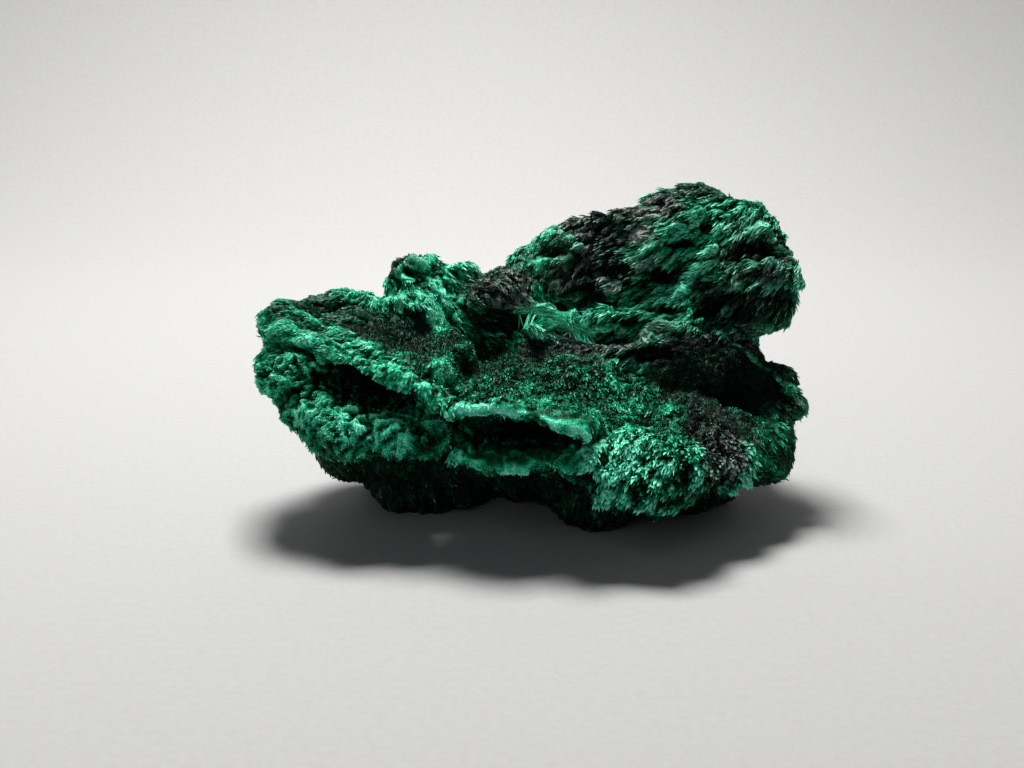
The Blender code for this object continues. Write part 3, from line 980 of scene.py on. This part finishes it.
def layBlades(name, crust, material, sizes):
    tree, board, geometry = bladeTree(name)
    dressed = board.add("GeometryNodeSetMaterial", {}, {"Geometry": geometry, "Material": material})
    closeTree(board, dressed)
    thing = addThing(name, crust.data.copy())
    thing.data.materials.clear()
    applyTree(thing, tree, sizes)
    for spare in (*surfaceKinds, "rough", "run", "up", "pull", "proud", "cell", "round"):
        if spare in thing.data.attributes:
            thing.data.attributes.remove(thing.data.attributes[spare])
    print("   ", name, triangles(thing), "triangles")
    return thing


bladeKinds = {
    "combed_blades": {
        "Where": "combed", "Spacing": 0.28 * mm, "Length": 1.15 * mm, "Width": 0.25 * mm, "Flatness": 0.6,
        "Lift": 8.0, "Gather": 0.5, "Scatter": 0.05, "Bend": 0.1, "Tone spread": 0.3, "Seed": 3,
    },
    "plate_blades": {
        "Where": "plate", "Spacing": 0.28 * mm, "Length": 0.65 * mm, "Width": 0.19 * mm, "Flatness": 0.7,
        "Lift": 10.0, "Gather": 0.45, "Scatter": 0.14, "Bend": 0.1, "Tone spread": 0.2, "Seed": 11,
    },
    "ruffle_fibres": {
        "Where": "ruffled", "Spacing": 0.24 * mm, "Length": 0.34 * mm, "Width": 0.17 * mm, "Flatness": 0.9,
        "Lift": 35.0, "Gather": 0.2, "Scatter": 0.3, "Bend": 0.1, "Tone spread": 0.22, "Seed": 23,
    },
    "druse_grains": {
        "Where": "drusy", "Spacing": 0.27 * mm, "Length": 0.3 * mm, "Width": 0.24 * mm, "Flatness": 0.9,
        "Lift": 80.0, "Gather": 0.0, "Scatter": 0.6, "Bend": 0.0, "Tone spread": 0.34, "Seed": 37,
    },
    "slope_grains": {
        "Where": "grainy", "Spacing": 0.26 * mm, "Length": 0.6 * mm, "Width": 0.22 * mm, "Flatness": 0.7,
        "Lift": 24.0, "Gather": 0.4, "Scatter": 0.35, "Bend": 0.1, "Tone spread": 0.24, "Seed": 41,
    },
    "cluster_chips": {
        "Where": "chipped", "Spacing": 0.36 * mm, "Length": 0.85 * mm, "Width": 0.55 * mm, "Flatness": 0.32,
        "Lift": 26.0, "Gather": 0.5, "Scatter": 0.25, "Bend": 0.0, "Tone spread": 0.34, "Seed": 53,
    },
    "lip_fringe": {
        "Where": "lipped", "Spacing": 0.24 * mm, "Length": 0.34 * mm, "Width": 0.16 * mm, "Flatness": 0.8,
        "Lift": 12.0, "Gather": 0.3, "Scatter": 0.2, "Bend": 0.1, "Tone spread": 0.12, "Seed": 61,
    },
    "rough_blades": {
        "Where": "rough", "Spacing": 0.6 * mm, "Length": 0.75 * mm, "Width": 0.34 * mm, "Flatness": 0.5,
        "Lift": 9.0, "Gather": 0.5, "Scatter": 0.12, "Bend": 0.1, "Tone spread": 0.2, "Seed": 71,
    },
}


# long pale strands that swirl at the foot of the massif, in mm

curlSettings = {
    "outer": [(-2.5, 5.5, 26.8), (-1.5, 6.5, 29.8), (2.5, 6.5, 31), (7, 5.5, 29.6), (10.5, 5, 27)],
    "inner": [(-0.5, 4, 26.6), (1.2, 3.2, 27.8), (3.8, 2.8, 27.8), (6.8, 2.3, 26.8), (10, 1.5, 25.2)],
    "strands": 290,
    "steps": 9,
    "start": (0.1, 0.85),       # where on the way a strand starts, and how much of the way it covers
    "cover": (0.09, 0.2),
    "radius": 0.07,
    "radiusSpread": (0.7, 1.3),
    "stray": 0.25,
    "sway": (1.6, 0.25),        # size and amount of its waves
    "rootLift": (0.05, 0.3),    # height above the crust, and what is added at the tip
    "tipLift": (0.1, 0.4),
    "smoothRounds": 2,
    "tone": (0.6, 1.2),
    "rootAlong": 0.3,           # how far up its dark-to-light run a strand starts
    "greyFrom": 0.62,           # share of the way from outer to inner where the strands turn sooty
    "greyWidth": 0.15,
    "greyMost": 0.85,
    "greyTone": 0.2,
    "roughness": 0.3,
    "seed": 83,
}


def alongPath(corners, parts):
    # smooth points along a line through the corners
    corners = np.array(corners, float)
    place = parts * (len(corners) - 1)
    first = np.clip(np.floor(place).astype(int), 0, len(corners) - 2)
    before, start = corners[np.maximum(first - 1, 0)], corners[first]
    end, after = corners[first + 1], corners[np.minimum(first + 2, len(corners) - 1)]
    part = (place - first)[:, None]
    bend = (2 * before - 5 * start + 4 * end - after) * part ** 2
    twist = (3 * start - before - 3 * end + after) * part ** 3
    return 0.5 * (2 * start + (end - before) * part + bend + twist)


def strandPath(crust, pick, inward, shares):
    # a strand that lies on the crust; inward is 0 on the outer line and 1 on the inner one
    settings = curlSettings
    start = pick.uniform(*settings["start"])
    parts = start + shares * min(pick.uniform(*settings["cover"]), 1 - start)
    outer = alongPath(settings["outer"], parts)
    inner = alongPath(settings["inner"], parts)
    path = (1 - inward) * outer + inward * inner
    path = path + pick.normal(0, settings["stray"], 3)
    path = shaken(path, *settings["sway"], (101.0, 103.0, 107.0))
    lift = pick.uniform(*settings["rootLift"]) + pick.uniform(*settings["tipLift"]) * shares
    for number in range(len(path)):
        spot, normal = crust.closest_point_on_mesh(Vector(path[number] * mm))[1:3]
        path[number] = np.array(spot) / mm + np.array(normal) * lift[number]
    for _ in range(settings["smoothRounds"]):
        path[1:-1] = (path[:-2] + path[1:-1] * 2 + path[2:]) / 4
    return path


def tubeAround(path, radius, first):
    # a three-sided tube that ends in points; first is the number of its first corner
    heading = unit(np.gradient(path, axis=0))
    side = unit(np.cross(heading, (0.3, 0.9, 0.3)))
    other = np.cross(heading, side)
    rings = len(path) - 2
    last = first + 1 + 3 * rings
    corners, faces = [path[0]], []
    for turn in range(3):
        angle = 2 * math.pi * turn / 3
        ring = math.cos(angle) * side[1:-1] + math.sin(angle) * other[1:-1]
        corners.extend(path[1:-1] + ring * radius[:, None])
        here, there = first + 1 + turn * rings, first + 1 + (turn + 1) % 3 * rings
        faces.append((first, there, here))
        faces.extend((here + k, there + k, there + k + 1, here + k + 1) for k in range(rings - 1))
        faces.append((here + rings - 1, there + rings - 1, last))
    corners.append(path[-1])
    return corners, faces


def layCurl(crust, material):
    settings = curlSettings
    pick = np.random.default_rng(settings["seed"])
    shares = np.linspace(0, 1, settings["steps"])
    climb = settings["rootAlong"] + (1 - settings["rootAlong"]) * shares
    corners, faces, tones, soots, alongs = [], [], [], [], []
    for _ in range(settings["strands"]):
        inward = pick.uniform(0, 1)
        path = strandPath(crust, pick, inward, shares)
        thickness = settings["radius"] * pick.uniform(*settings["radiusSpread"])
        radius = thickness * np.sqrt(np.sin(math.pi * shares[1:-1]))
        newCorners, newFaces = tubeAround(path, radius, len(corners))
        corners.extend(newCorners)
        faces.extend(newFaces)
        grey = (inward - settings["greyFrom"]) / settings["greyWidth"]
        grey = float(np.clip(grey, 0, settings["greyMost"]))
        tone = pick.uniform(*settings["tone"]) - settings["greyTone"] * grey
        tones.extend([tone] * len(newCorners))
        soots.extend([grey] * len(newCorners))
        alongs.extend([climb[0], *list(climb[1:-1]) * 3, climb[-1]])
    data = bpy.data.meshes.new("curl_strands")
    data.from_pydata([tuple(corner * mm) for corner in corners], [], faces)
    writeAttribute(data, "tone", tones)
    writeAttribute(data, "soot", soots)
    writeAttribute(data, "along", alongs)
    data.materials.append(material)
    curl = addThing("curl_strands", data)
    print("    curl_strands", triangles(curl), "triangles")
    return curl


# camera, floor and lights

viewSettings = {
    "target": (-2.85, 2.0, 20.0),   # mm
    "distance": 222.0,
    "elevation": 18.0,
    "lens": 50.0,
    "sensor": 36.0,
    "nearest": 10.0,                # mm
    "transform": "Standard",
}


def aimAt(thing, place, target):
    thing.location = place
    thing.rotation_mode = "QUATERNION"
    thing.rotation_quaternion = (Vector(target) - Vector(place)).to_track_quat("-Z", "Y")


def placeCamera():
    rise = math.radians(viewSettings["elevation"])
    target = Vector(viewSettings["target"]) * mm
    place = target + Vector((0, -math.cos(rise), math.sin(rise))) * viewSettings["distance"] * mm
    lens = bpy.data.cameras.new("camera")
    lens.lens = viewSettings["lens"]
    lens.sensor_width = viewSettings["sensor"]
    lens.clip_start = viewSettings["nearest"] * mm
    camera = addThing("camera", lens)
    aimAt(camera, place, target)
    bpy.context.scene.camera = camera
    bpy.context.scene.view_settings.view_transform = viewSettings["transform"]


studioLights = {
    # name: (place in m, width in m, power in W, colour)
    "key": ((-0.04, 0.15, 0.42), 0.13, 3.55, (1.0, 0.99, 0.97)),
    "fill": ((-0.22, -0.35, 0.30), 0.40, 0.26, (0.95, 0.98, 1.0)),
    "side": ((0.45, 0.05, 0.25), 0.30, 0.12, (1.0, 1.0, 1.0)),
}
lampsAimAt = (0, 0, 0.02)
worldLight = {"colour": (0.9, 0.95, 1.0, 1), "strength": 0.03}


def placeLights():
    for name, (place, width, power, colour) in studioLights.items():
        lamp = bpy.data.lights.new(name, "AREA")
        lamp.size = width
        lamp.energy = power
        lamp.color = colour
        aimAt(addThing(name, lamp), place, lampsAimAt)
    world = bpy.data.worlds.new("studio")
    bpy.context.scene.world = world
    world.use_nodes = True
    background = world.node_tree.nodes["Background"]
    background.inputs["Color"].default_value = worldLight["colour"]
    background.inputs["Strength"].default_value = worldLight["strength"]


floorSettings = {
    "halfWidth": 1.2,       # m, as are the other lengths here
    "front": -0.9,
    "bendAt": 0.16,
    "bendRadius": 0.12,
    "bendSteps": 12,
    "top": 0.9,
    "colours": ((0.38, 0.38, 0.385, 1), (0.45, 0.45, 0.45, 1)),
    "grainScale": 900.0,
    "roughness": 0.85,
}


def placeFloor():
    # a level floor that sweeps up behind the specimen
    bendAt, radius, steps = floorSettings["bendAt"], floorSettings["bendRadius"], floorSettings["bendSteps"]
    profile = [(floorSettings["front"], 0.0), (bendAt, 0.0)]
    for step in range(1, steps + 1):
        angle = math.radians(90 * step / steps)
        profile.append((bendAt + radius * math.sin(angle), radius - radius * math.cos(angle)))
    profile.append((bendAt + radius, floorSettings["top"]))
    mesh = bmesh.new()
    left = [mesh.verts.new((-floorSettings["halfWidth"], y, z)) for y, z in profile]
    right = [mesh.verts.new((floorSettings["halfWidth"], y, z)) for y, z in profile]
    for number in range(len(profile) - 1):
        mesh.faces.new((left[number], right[number], right[number + 1], left[number + 1])).smooth = True
    data = bpy.data.meshes.new("floor")
    mesh.to_mesh(data)
    mesh.free()
    material = newMaterial("pale_floor")
    board, shader = principled(material)
    place = board.add("ShaderNodeTexCoord", {}, {}, "Object")
    grain = board.noise(place, floorSettings["grainScale"], 3.0)
    board.feed(shader.inputs["Base Color"], board.mixColour(grain, *floorSettings["colours"]))
    shader.inputs["Roughness"].default_value = floorSettings["roughness"]
    data.materials.append(material)
    floor = addThing("floor", data)


# build it all

placeCamera()
placeLights()
placeFloor()
print("stage ready")

crust = copyBody(cadNode, crustSettings["grain"], crustSettings["smoothRounds"])
sculptCrust(crust, cadLow.z)
markCrests(crust)
thinOut(crust, crustSettings["keptFaces"])
print("crust", triangles(crust), "triangles")

pieces = [crust]
for name, sizes in bladeKinds.items():
    material = bladeMaterial("malachite_" + name, bladeLook["roughness"])
    pieces.append(layBlades(name, crust, material, sizes))
pieces.append(layCurl(crust, bladeMaterial("malachite_curl_strands", curlSettings["roughness"])))
print("blades laid")

crust.data.materials.clear()
crust.data.materials.append(crustMaterial())
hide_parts("malachite_specimen")
for piece in pieces:
    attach(piece, "root")

print("done")
